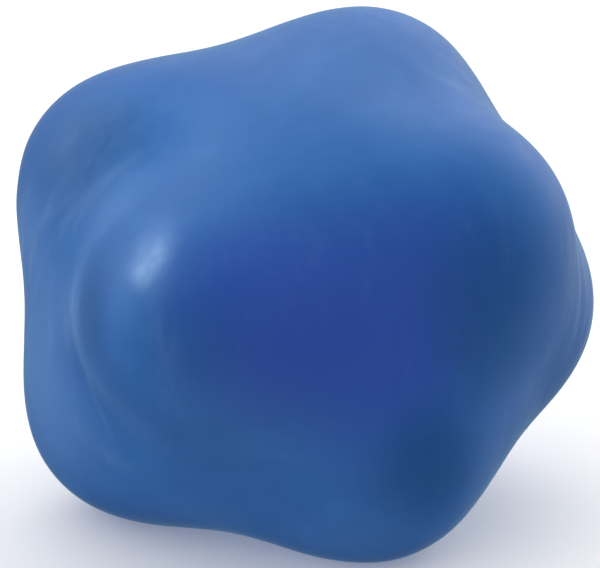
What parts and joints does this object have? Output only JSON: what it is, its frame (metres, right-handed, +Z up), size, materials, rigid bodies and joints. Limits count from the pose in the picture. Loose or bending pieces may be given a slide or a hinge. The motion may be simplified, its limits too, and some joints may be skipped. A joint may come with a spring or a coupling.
{
  "type": "stress ball",
  "caption": "Hand-size stress ball: matte blue latex skins over a bladder of fine granules, squeezed into a lumpy shape that holds its dents.",
  "frame": {"origin": "bottom centre of the bounding box, on the surface that the ball stands on", "axes": "+Z up, -Y towards the front of the ball, with the thumb knob at the front left; +X to the right, along the ball's longest extent"},
  "size_m": [0.0708, 0.0674, 0.0602],
  "materials": {
    "outer_latex": "satin",
    "inner_latex": "satin",
    "bladder_latex": "satin",
    "granules": "matte",
    "plug_plastic": "satin",
    "band_rubber": "satin"
  },
  "bodies": {
    "ball": {"outer_skin": "outer_latex", "middle_skin": "inner_latex", "fill_bladder": "bladder_latex", "granule_fill": "granules"},
    "closure": {"neck_plug": "plug_plastic", "neck_band": "band_rubber"}
  },
  "joints": [
    {"name": "squeeze", "type": "slide", "parent": "ball", "child": "closure", "axis": [0, 0, -1], "range_m": [0, 0.016], "deforming": ["outer_skin", "middle_skin", "fill_bladder", "granule_fill"]}
  ]
}
